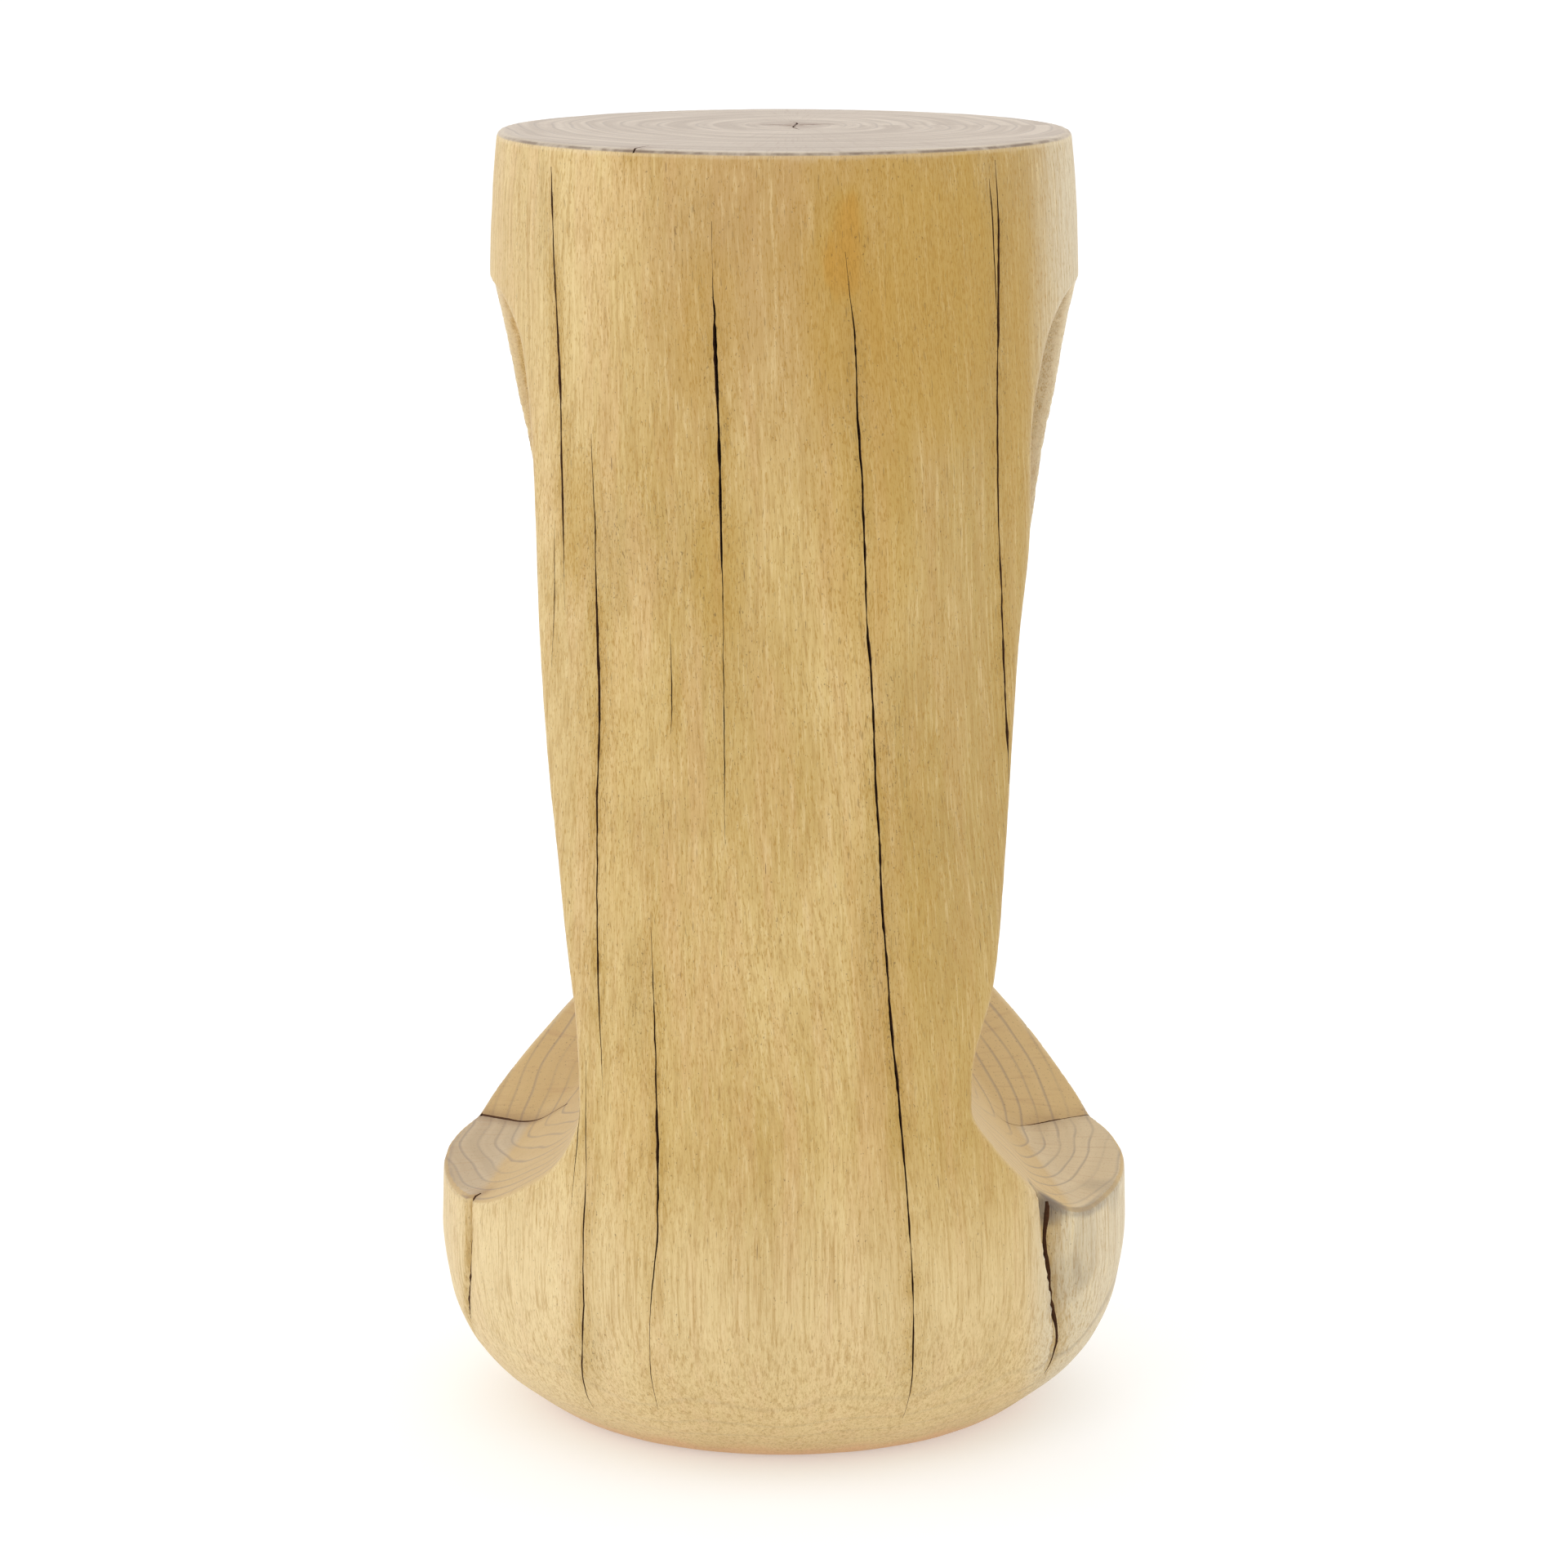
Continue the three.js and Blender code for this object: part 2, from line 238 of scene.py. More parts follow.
def side_recess(x, y, z):
    """Negative inside the deep recess on each side between back, arm and thigh."""
    width = np.where(x > 0, wall_left(z), wall_right(z))
    fit = np.where(x > 0, wall_left.scale(z), wall_right.scale(z))
    back_edge = np.sqrt(np.maximum(log_radius(z) ** 2 - np.minimum(width, 118) ** 2, 100))
    wall = (width + WALL_TAPER * (y - back_edge) - np.abs(x)) * fit
    arm = (-arm_back(z) + RIGHT_ARM_BACK * (x < 0) - y) * arm_back.scale(z)
    height, climb = thigh_top(x, y)
    thigh = (height - z) / np.sqrt(1 + climb * climb)
    recess = smooth_max(wall, thigh, 3.5)
    return smooth_max(recess, arm, 3)


def head(x, y, z):
    ax = np.abs(x)
    d = ellipsoid(x, y, z, (0, -46, 350), (48, 47, 64))
    d = smooth_min(d, ellipsoid(x, y, z, (0, -26, 392), (52, 60, 38)), 10)
    d = smooth_min(d, ellipsoid(x, y, z, (0, -80, 298), (17, 12, 13)), 12)
    socket = ellipsoid(ax, y, z, (21, -104, 361), (18, 19, 12))
    d = smooth_max(d, -socket, 7)
    d = smooth_min(d, limb(ax, y, z, (3, -94, 377), (36, -82, 374), 4.2, 3.2), 5)
    d = smooth_min(d, limb(x, y, z, (0, -92, 376), (0, -97, 340), 3.8, 6.2), 5)
    d = smooth_min(d, ellipsoid(ax, y, z, (6.5, -93, 337), (5, 5, 4.4)), 3)
    lid = ellipsoid(ax, y, z, (20.5, -84.5, 360), (11.5, 5.8, 5.6))
    d = smooth_min(d, lid, 1.6)
    d = smooth_max(d, -limb(ax, y, z, (12, -91.5, 359.2), (29, -88.5, 359.8), 0.9, 0.9), 0.8)
    upper_lip = ellipsoid(x, y, z, (0, -88, 320.5), (13, 6.5, 3.2))
    lower_lip = ellipsoid(x, y, z, (0, -87.5, 314.8), (11.5, 6.8, 3.6))
    d = smooth_min(d, smooth_min(upper_lip, lower_lip, 1.2), 2)
    ear = ellipsoid(ax, y, z, (49, -46, 352), (6, 9, 17))
    ear = smooth_max(ear, -ellipsoid(ax, y, z, (54, -52, 352), (5, 5.5, 11)), 2)
    return smooth_min(d, ear, 2.5)


def front(body, x, y, z):
    """The front: chest, head, belly, hands on knees, shins and feet."""
    ax = np.abs(x)
    r = np.hypot(x, y)
    skin = r - log_radius(z)
    opening = smooth_max((ax - chest_half(z)) * chest_half.scale(z), y + 64, 9)
    opening = smooth_max(opening, z - 403, 8)
    opening = smooth_max(opening, 105 - z - 0.1 * (y + 64), 6)
    body = smooth_max(body, -opening, 4)
    turn = np.degrees(np.arctan2(ax, -y))
    around = np.maximum(18 - turn, turn - 41) * r * math.pi / 180
    bite = smooth_max(np.abs(z - 66) - 38, around - 3, 24)
    bite = smooth_max(bite, log_radius(z) - 12 - r + 0.004 * (z - 66) ** 2, 6)
    body = smooth_max(body, -bite, 9)
    if z.min() < 125:
        shin = limb(ax, y, z, (45, -80, 26), (51, -87, 108), 19.5, 22)
        body = smooth_min(body, smooth_max(shin, skin, 3), 4)
    if z.max() > 268:
        body = smooth_min(body, smooth_max(head(x, y, z), skin, 2), 4)
    if z.max() > 225 and z.min() < 312:
        body = smooth_min(body, ellipsoid(x, y, z, (0, -52, 272), (24, 26, 60)), 14)
        body = smooth_min(body, ellipsoid(ax, y, z, (20, -62, 256), (19, 19, 20)), 8)
    if z.max() > 138 and z.min() < 262:
        belly = ellipsoid(x, y, z, (0, -44, 198), (46, 57, 53))
        belly = smooth_max(belly, -(np.sqrt(x * x + (y + 103) ** 2 + (z - 200) ** 2) - 6.2), 2)
        belly = smooth_min(belly, ellipsoid(x, y, z, (0, -98, 200), (3.2, 3.5, 3.2)), 1.5)
        body = smooth_min(body, smooth_max(belly, skin, 2), 5)
    if z.min() < 175 and z.max() > 95:
        for at in FINGER_TURNS:
            a = (turn - at) * r * math.pi / 180
            groove = smooth_max(np.hypot(a, (skin - 0.4) * 0.55) - 1.5, np.abs(z - 120) - 14, 2)
            body = smooth_max(body, -groove, 1.4)
        cuff = smooth_max(np.hypot(z - 156, skin * 0.6) - 1.3, np.abs(turn - 22) * 1.9 - 12, 2)
        body = smooth_max(body, -cuff, 1.2)
    if z.min() < 34:
        for at in TOE_TURNS:
            a = (turn - at) * r * math.pi / 180
            groove = smooth_max(np.hypot(a, skin * 0.5) - 1.7, z - 24, 2)
            body = smooth_max(body, -groove, 1.4)
    return body


def figure(x, y, z):
    """Signed distance to the carved figure, in millimetres."""
    r = np.hypot(x, y)
    side = (r - log_radius(z) + leg_notch(x, y, z)) * log_radius.scale(z)
    side = side + 0.2 * unevenness(x, y, z, 70, 3) + 0.08 * unevenness(x, y, z, 16, 4)
    body = smooth_max(side, z - TOP_Z + 0.04 + 0.05 * (1 + unevenness(x, y, z, 30, 5)), 2.4)
    body = smooth_max(body, 0.05 - z, 3)
    if z.max() > 60 and z.min() < 412:
        tooled = 0.16 * unevenness(x, y, z, 40, 6) + 0.05 * unevenness(x, y, z, 12, 7)
        body = smooth_max(body, -(side_recess(x, y, z) + tooled), 2.2)
    return front(body, x, y, z)


def gradient(x, y, z, h=0.25):
    g = np.stack(
        [
            figure(x + h, y, z) - figure(x - h, y, z),
            figure(x, y + h, z) - figure(x, y - h, z),
            figure(x, y, z + h) - figure(x, y, z - h),
        ],
        axis=1,
    )
    return g / (2 * h)


def in_layers(function, points, size=20000):
    """The function's value at each point, worked out in thin level layers, which is quicker."""
    order = np.argsort(points[:, 2], kind="stable")
    parts = [function(*points[order[i : i + size]].T) for i in range(0, len(points), size)]
    found = np.concatenate(parts)
    out = np.empty_like(found)
    out[order] = found
    return out


# ---------------------------------------------------------------- skinning
def sample_grid(step, coarse=4):
    """The distance at every grid point near the surface, and a rough one everywhere else."""
    low = np.array([-127.0, -127.0, -5.0])
    blocks = np.ceil((np.array([127.0, 127.0, 460.0]) - low) / (step * coarse)).astype(int)
    big = step * coarse
    centres = [low[i] + (np.arange(blocks[i]) + 0.5) * big for i in range(3)]
    grid = np.stack(np.meshgrid(*centres, indexing="ij"), axis=-1)
    rough = in_layers(figure, grid.reshape(-1, 3)).reshape(grid.shape[:3])
    field = np.repeat(np.repeat(np.repeat(rough, coarse, 0), coarse, 1), coarse, 2)
    near = np.argwhere(np.abs(rough) < big * 1.7)
    offsets = np.stack(np.meshgrid(*[np.arange(coarse)] * 3, indexing="ij"), axis=-1).reshape(-1, 3)
    cells = (near[:, None, :] * coarse + offsets[None]).reshape(-1, 3)
    field[tuple(cells.T)] = in_layers(figure, low + cells * step)
    axes = [low[i] + np.arange(field.shape[i]) * step for i in range(3)]
    return field, axes


def unpinch(field):
    """Fills grid corners that touch only across a cell face, so the skin never meets itself at an edge."""
    for _ in range(4):
        found = 0
        for u, v in ((0, 1), (0, 2), (1, 2)):
            eye = np.eye(3, dtype=int)
            size = [n - (i in (u, v)) for i, n in enumerate(field.shape)]
            part = lambda o: field[tuple(slice(o[i], o[i] + size[i]) for i in range(3))] < 0
            a, b, c, d = part((0, 0, 0)), part(eye[u]), part(eye[v]), part(eye[u] + eye[v])
            for odd, corner in (((a & d & ~b & ~c), eye[u]), ((b & c & ~a & ~d), eye[u] * 0)):
                at = np.argwhere(odd) + corner
                field[tuple(at.T)] = -0.01
                found += len(at)
        if not found:
            break
    return field


def surface_net(field, axes, step):
    """One vertex in each cell that the surface crosses, and a quad for each crossed edge."""
    inside = field < 0
    count = np.zeros(tuple(n - 1 for n in field.shape), np.int8)
    corners = [(i, j, k) for i in (0, 1) for j in (0, 1) for k in (0, 1)]
    cut = lambda a, o: a[
        o[0] : a.shape[0] - 1 + o[0], o[1] : a.shape[1] - 1 + o[1], o[2] : a.shape[2] - 1 + o[2]
    ]
    for o in corners:
        count += cut(inside, o)
    active = (count > 0) & (count < 8)
    cells = np.argwhere(active)
    index = np.full(active.shape, -1, np.int32)
    index[active] = np.arange(len(cells), dtype=np.int32)
    values = np.stack([field[tuple((cells + np.array(o)).T)] for o in corners], axis=1)
    total = np.zeros((len(cells), 3))
    hits = np.zeros(len(cells))
    for a in range(8):
        for b in range(a + 1, 8):
            ca, cb = np.array(corners[a]), np.array(corners[b])
            if np.abs(ca - cb).sum() != 1:
                continue
            va, vb = values[:, a], values[:, b]
            crossed = (va < 0) != (vb < 0)
            t = np.where(crossed, va / np.where(crossed, va - vb, 1), 0)
            total += (ca + (cb - ca) * t[:, None]) * crossed[:, None]
            hits += crossed
    points = (cells + total / hits[:, None]) * step + np.array([a[0] for a in axes])
    quads = []
    for axis in range(3):
        u, v = [(1, 2), (2, 0), (0, 1)][axis]
        low = [slice(None)] * 3
        high = [slice(None)] * 3
        low[axis], high[axis] = slice(0, -1), slice(1, None)
        crossed = np.argwhere(inside[tuple(low)] != inside[tuple(high)])
        keep = (crossed[:, u] > 0) & (crossed[:, v] > 0)
        keep &= (crossed[:, u] < index.shape[u]) & (crossed[:, v] < index.shape[v])
        crossed = crossed[keep]
        du, dv = np.eye(3, dtype=int)[u], np.eye(3, dtype=int)[v]
        ring = [crossed, crossed - du, crossed - du - dv, crossed - dv]
        quad = np.stack([index[tuple(c.T)] for c in ring], axis=1)
        outward = inside[tuple(crossed.T)]
        quads.append(np.where(outward[:, None], quad, quad[:, ::-1]))
    return points, np.concatenate(quads)


def settle(points, rounds=2):
    """Slides each point along the gradient onto the surface."""
    for _ in range(rounds):
        value = in_layers(figure, points)
        g = in_layers(gradient, points)
        move = g * (value / np.maximum((g * g).sum(axis=1), 0.05))[:, None]
        size = np.linalg.norm(move, axis=1, keepdims=True)
        points = points - move * np.minimum(1, 1.0 / np.maximum(size, 1e-9))
    return points


def make_mesh(name, points, faces):
    mesh = bpy.data.meshes.new(name)
    width = faces.shape[1]
    mesh.vertices.add(len(points))
    mesh.vertices.foreach_set("co", (points * MM).astype(np.float32).ravel())
    mesh.loops.add(faces.size)
    mesh.loops.foreach_set("vertex_index", faces.astype(np.int32).ravel())
    mesh.polygons.add(len(faces))
    mesh.polygons.foreach_set("loop_start", np.arange(0, faces.size, width, dtype=np.int32))
    mesh.update(calc_edges=True)
    mesh.validate()
    return mesh


def add_object(name, mesh):
    made = bpy.data.objects.new(name, mesh)
    bpy.context.scene.collection.objects.link(made)
    return made


def apply_modifiers(obj):
    graph = bpy.context.evaluated_depsgraph_get()
    mesh = bpy.data.meshes.new_from_object(obj.evaluated_get(graph))
    obj.modifiers.clear()
    obj.data = mesh


def stations(path):
    """Evenly spaced places along the given points, with the last value of each point as its width."""
    at = np.array(path, float)
    plan = at[:, :-1]
    run = np.concatenate([[0], np.cumsum(np.linalg.norm(np.diff(plan, axis=0), axis=1))])
    where = np.linspace(0, run[-1], max(4, int(run[-1] / STATION)))
    return np.stack([np.interp(where, run, at[:, k]) for k in range(at.shape[1])], axis=1)


def on_surface(points, out):
    """Slides points standing outside the wood inwards until they meet it."""
    for _ in range(14):
        points = points - out * np.clip(figure(*points.T), -0.5, 20)[:, None]
    return points


def wandering(rng, count, smooth):
    return np.convolve(rng.normal(size=count + smooth - 1), np.ones(smooth) / smooth, mode="valid")


def check_line(name, path, seed):
    """A check's points on the surface, the way out of the wood at each, and its width there."""
    rng = np.random.default_rng(seed)
    if name in CHECKS:
        low_first = sorted(path, key=lambda p: p[1])
        arc, height, width = stations([(math.radians(a) * USUAL_RADIUS, z, w) for a, z, w in low_first]).T
        angle = (arc + wandering(rng, len(arc), 9) * 0.5) / USUAL_RADIUS
        out = np.stack([np.sin(angle), np.cos(angle), np.zeros_like(angle)], axis=1)
        start = out * OUTSIDE_RADIUS + np.stack([height * 0, height * 0, height], axis=1)
    else:
        x, y, width = stations(path).T
        out = np.tile([0.0, 0.0, 1.0], (len(x), 1))
        y = y + wandering(rng, len(x), 5) * 0.3
        top = thigh_top(x, y)[0] if name.startswith("crease") else np.full(len(x), TOP_Z)
        start = np.stack([x, y, top + 0.5], axis=1)
    width = np.maximum(width * (1 + 0.45 * wandering(rng, len(width), 3)), 0.06)
    return on_surface(start, out), out, width


def blade(name, depth, line):
    """A thin wedge that opens a drying check in the surface."""
    surface, out, width = line
    along = np.gradient(surface, axis=0)
    across = np.cross(out, along)
    across /= np.linalg.norm(across, axis=1, keepdims=True)
    deep = depth * np.minimum(1, 0.25 + width / 0.8)
    half = across * (width / 2 * (deep + BLADE_LIFT) / deep)[:, None]
    lifted = surface + out * BLADE_LIFT
    ring = np.stack([lifted - half, lifted + half, surface - out * deep[:, None]], axis=1)
    faces = []
    n = len(surface)
    for a in range(0, 3 * (n - 1), 3):
        for p, q in ((0, 1), (1, 2), (2, 0)):
            faces.append((a + p, a + 3 + p, a + 3 + q))
            faces.append((a + p, a + 3 + q, a + q))
    faces.append((0, 1, 2))
    faces.append((3 * n - 1, 3 * n - 2, 3 * n - 3))
    mesh = make_mesh(name, ring.reshape(-1, 3), np.array(faces))
    mesh.polygons.foreach_set("material_index", np.full(len(mesh.polygons), CHECK_SLOT, np.int32))
    return mesh


CHECK_LINES = {
    name: (depth, check_line(name, path, 40 + i))
    for i, (name, (depth, path)) in enumerate({**CHECKS, **LEVEL_CHECKS}.items())
}


def carve_figure(looks):
    """The carved and split figure. Its skin has the first look, and the walls of its checks the second."""
    step = 1.5
    field, axes = sample_grid(step)
    points, quads = surface_net(unpinch(field), axes, step)
    points = settle(points)
    made = add_object("carved_figure", make_mesh("carved_figure", points, quads))
    for look in looks:
        made.data.materials.append(look)
    thin = made.modifiers.new("thin", "DECIMATE")
    thin.ratio = min(1.0, MOST_TRIANGLES / (2 * len(quads)))
    apply_modifiers(made)
    cutters = bpy.data.collections.new("cutters")
    bpy.context.scene.collection.children.link(cutters)
    blades = []
    for name, (depth, line) in CHECK_LINES.items():
        cutter = bpy.data.objects.new(name, blade(name, depth, line))
        for look in looks:
            cutter.data.materials.append(look)
        cutters.objects.link(cutter)
        blades.append(cutter)
    split = made.modifiers.new("split", "BOOLEAN")
    split.operation = "DIFFERENCE"
    split.solver = "MANIFOLD"
    split.operand_type = "COLLECTION"
    split.material_mode = "INDEX"
    split.collection = cutters
    apply_modifiers(made)
    for cutter in blades:
        bpy.data.objects.remove(cutter)
    bpy.data.collections.remove(cutters)
    return made


def array_of(items, name, width, kind=np.float32):
    out = np.empty(len(items) * width, kind)
    items.foreach_get(name, out)
    return out.reshape(-1, width) if width > 1 else out


def halo_of_checks(points):
    """How strongly each point is stained by the nearest check, from 0 to 1."""
    places = np.concatenate([line[0] for _, line in CHECK_LINES.values()])
    widths = np.concatenate([line[2] for _, line in CHECK_LINES.values()])
    tree = KDTree(len(places))
    for i, place in enumerate(places):
        tree.insert(place, i)
    tree.balance()
    halo = np.zeros(len(points))
    for i, point in enumerate(points):
        _, nearest, distance = tree.find(point)
        if distance < 14:
            halo[i] = min(1, widths[nearest] / 0.9) * math.exp(-((distance / 4.5) ** 2))
    return halo


def finish_skin(made):
    """True normals on the carved skin, flat ones in the checks, and values for the wood shader."""
    mesh = made.data
    points = array_of(mesh.vertices, "co", 3).astype(float) / MM
    g = in_layers(gradient, points)
    normal = g / np.maximum(np.linalg.norm(g, axis=1, keepdims=True), 1e-6)
    flat = array_of(mesh.polygons, "normal", 3).astype(float)
    in_check = array_of(mesh.polygons, "material_index", 1, np.int32) == CHECK_SLOT
    mesh.polygons.foreach_set("use_smooth", np.ones(len(mesh.polygons), bool))
    corner = array_of(mesh.loops, "vertex_index", 1, np.int32)
    totals = array_of(mesh.polygons, "loop_total", 1, np.int32)
    owner = np.repeat(np.arange(len(mesh.polygons)), totals)
    per_corner = normal[corner]
    apart = (per_corner * flat[owner]).sum(axis=1) < 0.35
    use_flat = in_check[owner] | apart
    per_corner[use_flat] = flat[owner][use_flat]
    mesh.normals_split_custom_set([tuple(n) for n in per_corner])
    # The hollow and shade values measure how closed in each point is; the wood shader darkens by them as
    # painted shade in creases and recesses.
    reach = 3.0
    inward = points - normal * reach
    outward = points + normal * reach
    edge = np.clip((in_layers(figure, inward) + reach) / reach, 0, 1)
    painted_hollow_shade = np.clip((reach - in_layers(figure, outward)) / reach, 0, 1)
    wide = 14.0
    shade = np.clip((wide - in_layers(figure, points + normal * wide)) / wide, 0, 1)
    halo = halo_of_checks(points)
    for name, values in (("edge", edge), ("painted_hollow_shade", painted_hollow_shade), ("shade", shade), ("halo", halo)):
        layer = mesh.attributes.new(name, "FLOAT", "POINT")
        layer.data.foreach_set("value", values.astype(np.float32))


# ---------------------------------------------------------------- materials
class Nodes:
    """Short ways to write a node tree."""

    def __init__(self, name):
        self.material = bpy.data.materials.new(name)
        self.material.use_nodes = True
        self.tree = self.material.node_tree
        self.shader = self.tree.nodes["Principled BSDF"]

    def add(self, kind, **settings):
        node = self.tree.nodes.new(kind)
        for key, value in settings.items():
            setattr(node, key, value)
        return node

    def put(self, socket, value):
        if isinstance(value, bpy.types.NodeSocket):
            self.tree.links.new(value, socket)
        elif isinstance(value, (tuple, list)) and len(value) == 3 and socket.type == "RGBA":
            socket.default_value = (*value, 1)
        else:
            socket.default_value = value

    def math(self, operation, a, b=0.0, c=0.0, clamp=False):
        node = self.add("ShaderNodeMath", operation=operation, use_clamp=clamp)
        for socket, value in zip(node.inputs, (a, b, c)):
            self.put(socket, value)
        return node.outputs[0]

    def mul(self, a, b):
        return self.math("MULTIPLY", a, b)

    def plus(self, a, b):
        return self.math("ADD", a, b)

    def fade(self, value, start, end, low=0.0, high=1.0):
        node = self.add("ShaderNodeMapRange", interpolation_type="SMOOTHSTEP")
        for socket, item in zip(node.inputs, (value, start, end, low, high)):
            self.put(socket, item)
        return node.outputs[0]

    def mix(self, factor, a, b, blend="MIX"):
        node = self.add("ShaderNodeMix", data_type="RGBA", blend_type=blend, clamp_factor=True)
        self.put(node.inputs[0], factor)
        self.put(node.inputs[6], a)
        self.put(node.inputs[7], b)
        return node.outputs[2]

    def vector(self, x, y, z):
        node = self.add("ShaderNodeCombineXYZ")
        for socket, value in zip(node.inputs, (x, y, z)):
            self.put(socket, value)
        return node.outputs[0]

    def noise(self, vector, detail=2.0, rough=0.5, distort=0.0, scale=1.0):
        node = self.add("ShaderNodeTexNoise", noise_dimensions="3D")
        self.put(node.inputs["Vector"], vector)
        self.put(node.inputs["Scale"], scale)
        self.put(node.inputs["Detail"], detail)
        self.put(node.inputs["Roughness"], rough)
        self.put(node.inputs["Distortion"], distort)
        return node.outputs["Fac"]

    def attribute(self, name):
        return self.add("ShaderNodeAttribute", attribute_name=name).outputs["Fac"]


def srgb(r, g, b):
    return tuple(((c / 255 + 0.055) / 1.055) ** 2.4 if c > 10 else c / 255 / 12.92 for c in (r, g, b))


# Soft stains on the back: (x, z, half width, half height, strength), in mm.
OCHRE_STAINS = [
    (-21, 425, 10, 21, 1.0), (-30, 403, 12, 34, 0.8), (-43, 410, 38, 50, 0.75), (-28, 345, 16, 60, 0.5),
    (25, 400, 10, 24, 0.4), (-76, 380, 8, 60, 0.5), (70, 330, 7, 26, 0.55), (22, 318, 8, 28, 0.55),
    (-38, 200, 14, 60, 0.3), (48, 130, 10, 60, 0.2), (-60, 130, 22, 50, 0.2), (60, 255, 10, 60, 0.25),
]
DARK_STAINS = [
    (60, 320, 10, 22, 0.6), (48, 170, 6, 22, 0.55), (20, 300, 14, 40, 0.35), (-36, 260, 8, 30, 0.4),
    (-32, 196, 6, 40, 0.6), (40, 325, 16, 18, 0.4), (22, 270, 10, 30, 0.35), (80, 430, 5, 20, 0.4),
    (46, 232, 20, 10, 0.3), (-46, 226, 16, 12, 0.35), (-78, 200, 10, 10, 0.3), (68, 45, 8, 14, 0.6),
    (-45, 46, 8, 20, 0.4), (30, 430, 16, 14, 0.3),
]
# Grey stains on the leg beyond the right groove: (x, y, z, radius, strength).
GREY_STAINS = [(-93, 69, 86, 6, 1.0), (-117, 36, 86, 9, 0.3), (-97, 68, 58, 9, 0.2)]


def stains(n, place, wander, spots):
    """The strongest of some soft-edged spots; place and each spot's sizes are given axis by axis."""
    total = None
    for *middle_and_size, strength in spots:
        half = len(place)
        middle, size = middle_and_size[:half], middle_and_size[half:]
        near = None
        for value, centre, reach in zip(place, middle, size * half if len(size) == 1 else size):
            off = n.mul(n.plus(value, -centre), 1 / reach)
            near = n.mul(off, off) if near is None else n.plus(near, n.mul(off, off))
        spot = n.fade(n.plus(near, wander), 2.0, 0.0, 0.0, strength)
        total = spot if total is None else n.math("MAXIMUM", total, spot)
    return total


def end_grain_colour(n, x, y, z, up):
    """Rings and rays about the pith, greyer on the crown. Also gives the ring lines."""
    px, py = n.plus(x, -PITH[0]), n.plus(y, -PITH[1])
    far = n.math("SQRT", n.plus(n.mul(px, px), n.mul(py, py)))
    angle = n.math("ARCTAN2", py, px)
    ring_wander = n.noise(n.vector(n.mul(x, 0.022), n.mul(y, 0.022), n.mul(z, 0.006)), 1.0)
    ring_at = n.plus(far, n.mul(ring_wander, 13.0))
    ring = n.math("FRACT", n.mul(ring_at, 1 / RING_SPACING))
    line = n.mul(n.fade(ring, 0.70, 0.86), n.fade(ring, 0.98, 0.88))
    ring_tone = n.noise(n.vector(n.mul(ring_at, 0.22), n.mul(angle, 0.9), n.mul(z, 0.01)), 2.0)
    line = n.mul(line, n.fade(ring_tone, 0.36, 0.56, 0.25, 1.0))
    ray = n.noise(n.vector(n.mul(angle, 60.0), n.mul(far, 0.05), n.mul(z, 0.01)), 2.0, 0.6)
    pore = n.noise(n.vector(n.mul(x, 1.3), n.mul(y, 1.3), 0.0), 1.0)
    crown = n.fade(z, TOP_Z - 12, TOP_Z - 2)
    end = n.mix(n.fade(ring_tone, 0.3, 0.7), srgb(188, 169, 140), srgb(200, 182, 153))
    # Painted light: end grain paler towards the right, standing in for light the lamps bring less of there.
    end = n.mix(n.fade(x, 40, -40, 0.0, 0.42), end, srgb(230, 209, 166))
    climbing = n.fade(up, 0.985, 0.93)
    end = n.mix(n.mul(climbing, 0.7), end, srgb(204, 172, 114))
    end = n.mix(n.mul(n.fade(ray, 0.5, 0.75), 0.3), end, srgb(176, 138, 104))
    top = n.mix(n.fade(ring_tone, 0.3, 0.7), srgb(180, 165, 150), srgb(202, 188, 172))
    top = n.mix(n.mul(n.fade(ray, 0.5, 0.75), 0.3), top, srgb(160, 138, 122))
    end = n.mix(crown, end, top)
    end = n.mix(n.mul(line, n.fade(crown, 0.0, 1.0, 0.42, 0.3)), end, srgb(126, 114, 112))
    end = n.mix(n.mul(n.fade(pore, 0.64, 0.74), 0.4), end, srgb(104, 86, 72))
    return end, line


